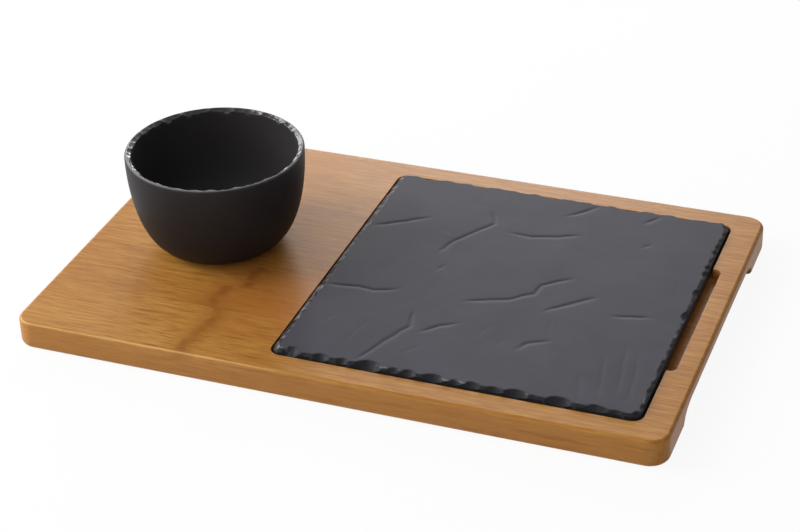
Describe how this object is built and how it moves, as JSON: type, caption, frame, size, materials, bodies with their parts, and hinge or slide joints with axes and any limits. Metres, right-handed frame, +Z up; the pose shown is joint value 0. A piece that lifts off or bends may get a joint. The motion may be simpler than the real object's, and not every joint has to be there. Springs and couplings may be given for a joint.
{
  "type": "serving tray",
  "caption": "Laminated bamboo serving tray with a slate-look plate set in a recess beside a finger notch, a finger grip scooped under one end, and a small dark bowl on the bare end.",
  "frame": {"origin": "centre of the board's underside, on the surface that the tray stands on", "axes": "+X along the board towards the plate's end, +Y across the board to the back, +Z up"},
  "size_m": [0.36, 0.23, 0.074],
  "materials": {
    "bamboo": "oiled, satin, grain along the board",
    "plate_ware": "satin dark grey stoneware with cleft relief",
    "bowl_ware": "matte charcoal stoneware"
  },
  "bodies": {
    "board": {"bottom_strip_01": "bamboo", "bottom_strip_02": "bamboo", "bottom_strip_03": "bamboo", "bottom_strip_04": "bamboo", "bottom_strip_05": "bamboo", "bottom_strip_06": "bamboo", "bottom_strip_07": "bamboo", "bottom_strip_08": "bamboo", "bottom_strip_09": "bamboo", "bottom_strip_10": "bamboo", "core_strip_01": "bamboo", "core_strip_02": "bamboo", "core_strip_03": "bamboo", "core_strip_04": "bamboo", "core_strip_05": "bamboo", "core_strip_06": "bamboo", "core_strip_07": "bamboo", "core_strip_08": "bamboo", "core_strip_09": "bamboo", "core_strip_10": "bamboo", "top_strip_01": "bamboo", "top_strip_02": "bamboo", "top_strip_03": "bamboo", "top_strip_04": "bamboo", "top_strip_05": "bamboo", "top_strip_06": "bamboo", "top_strip_07": "bamboo", "top_strip_08": "bamboo", "top_strip_09": "bamboo", "top_strip_10": "bamboo", "rim_strip_02": "bamboo", "rim_strip_03": "bamboo", "rim_strip_04": "bamboo", "rim_strip_05": "bamboo", "rim_strip_06": "bamboo", "rim_strip_07": "bamboo", "rim_strip_08": "bamboo", "rim_strip_09": "bamboo"},
    "plate": {"inset_plate": "plate_ware"},
    "bowl": {"dip_bowl": "bowl_ware"}
  },
  "joints": [
    {"name": "plate_lift", "type": "slide", "parent": "board", "child": "plate", "axis": [0, 0, 1], "range_m": [0, 0.05]},
    {"name": "bowl_lift", "type": "slide", "parent": "board", "child": "bowl", "axis": [0, 0, 1], "range_m": [0, 0.06]}
  ]
}
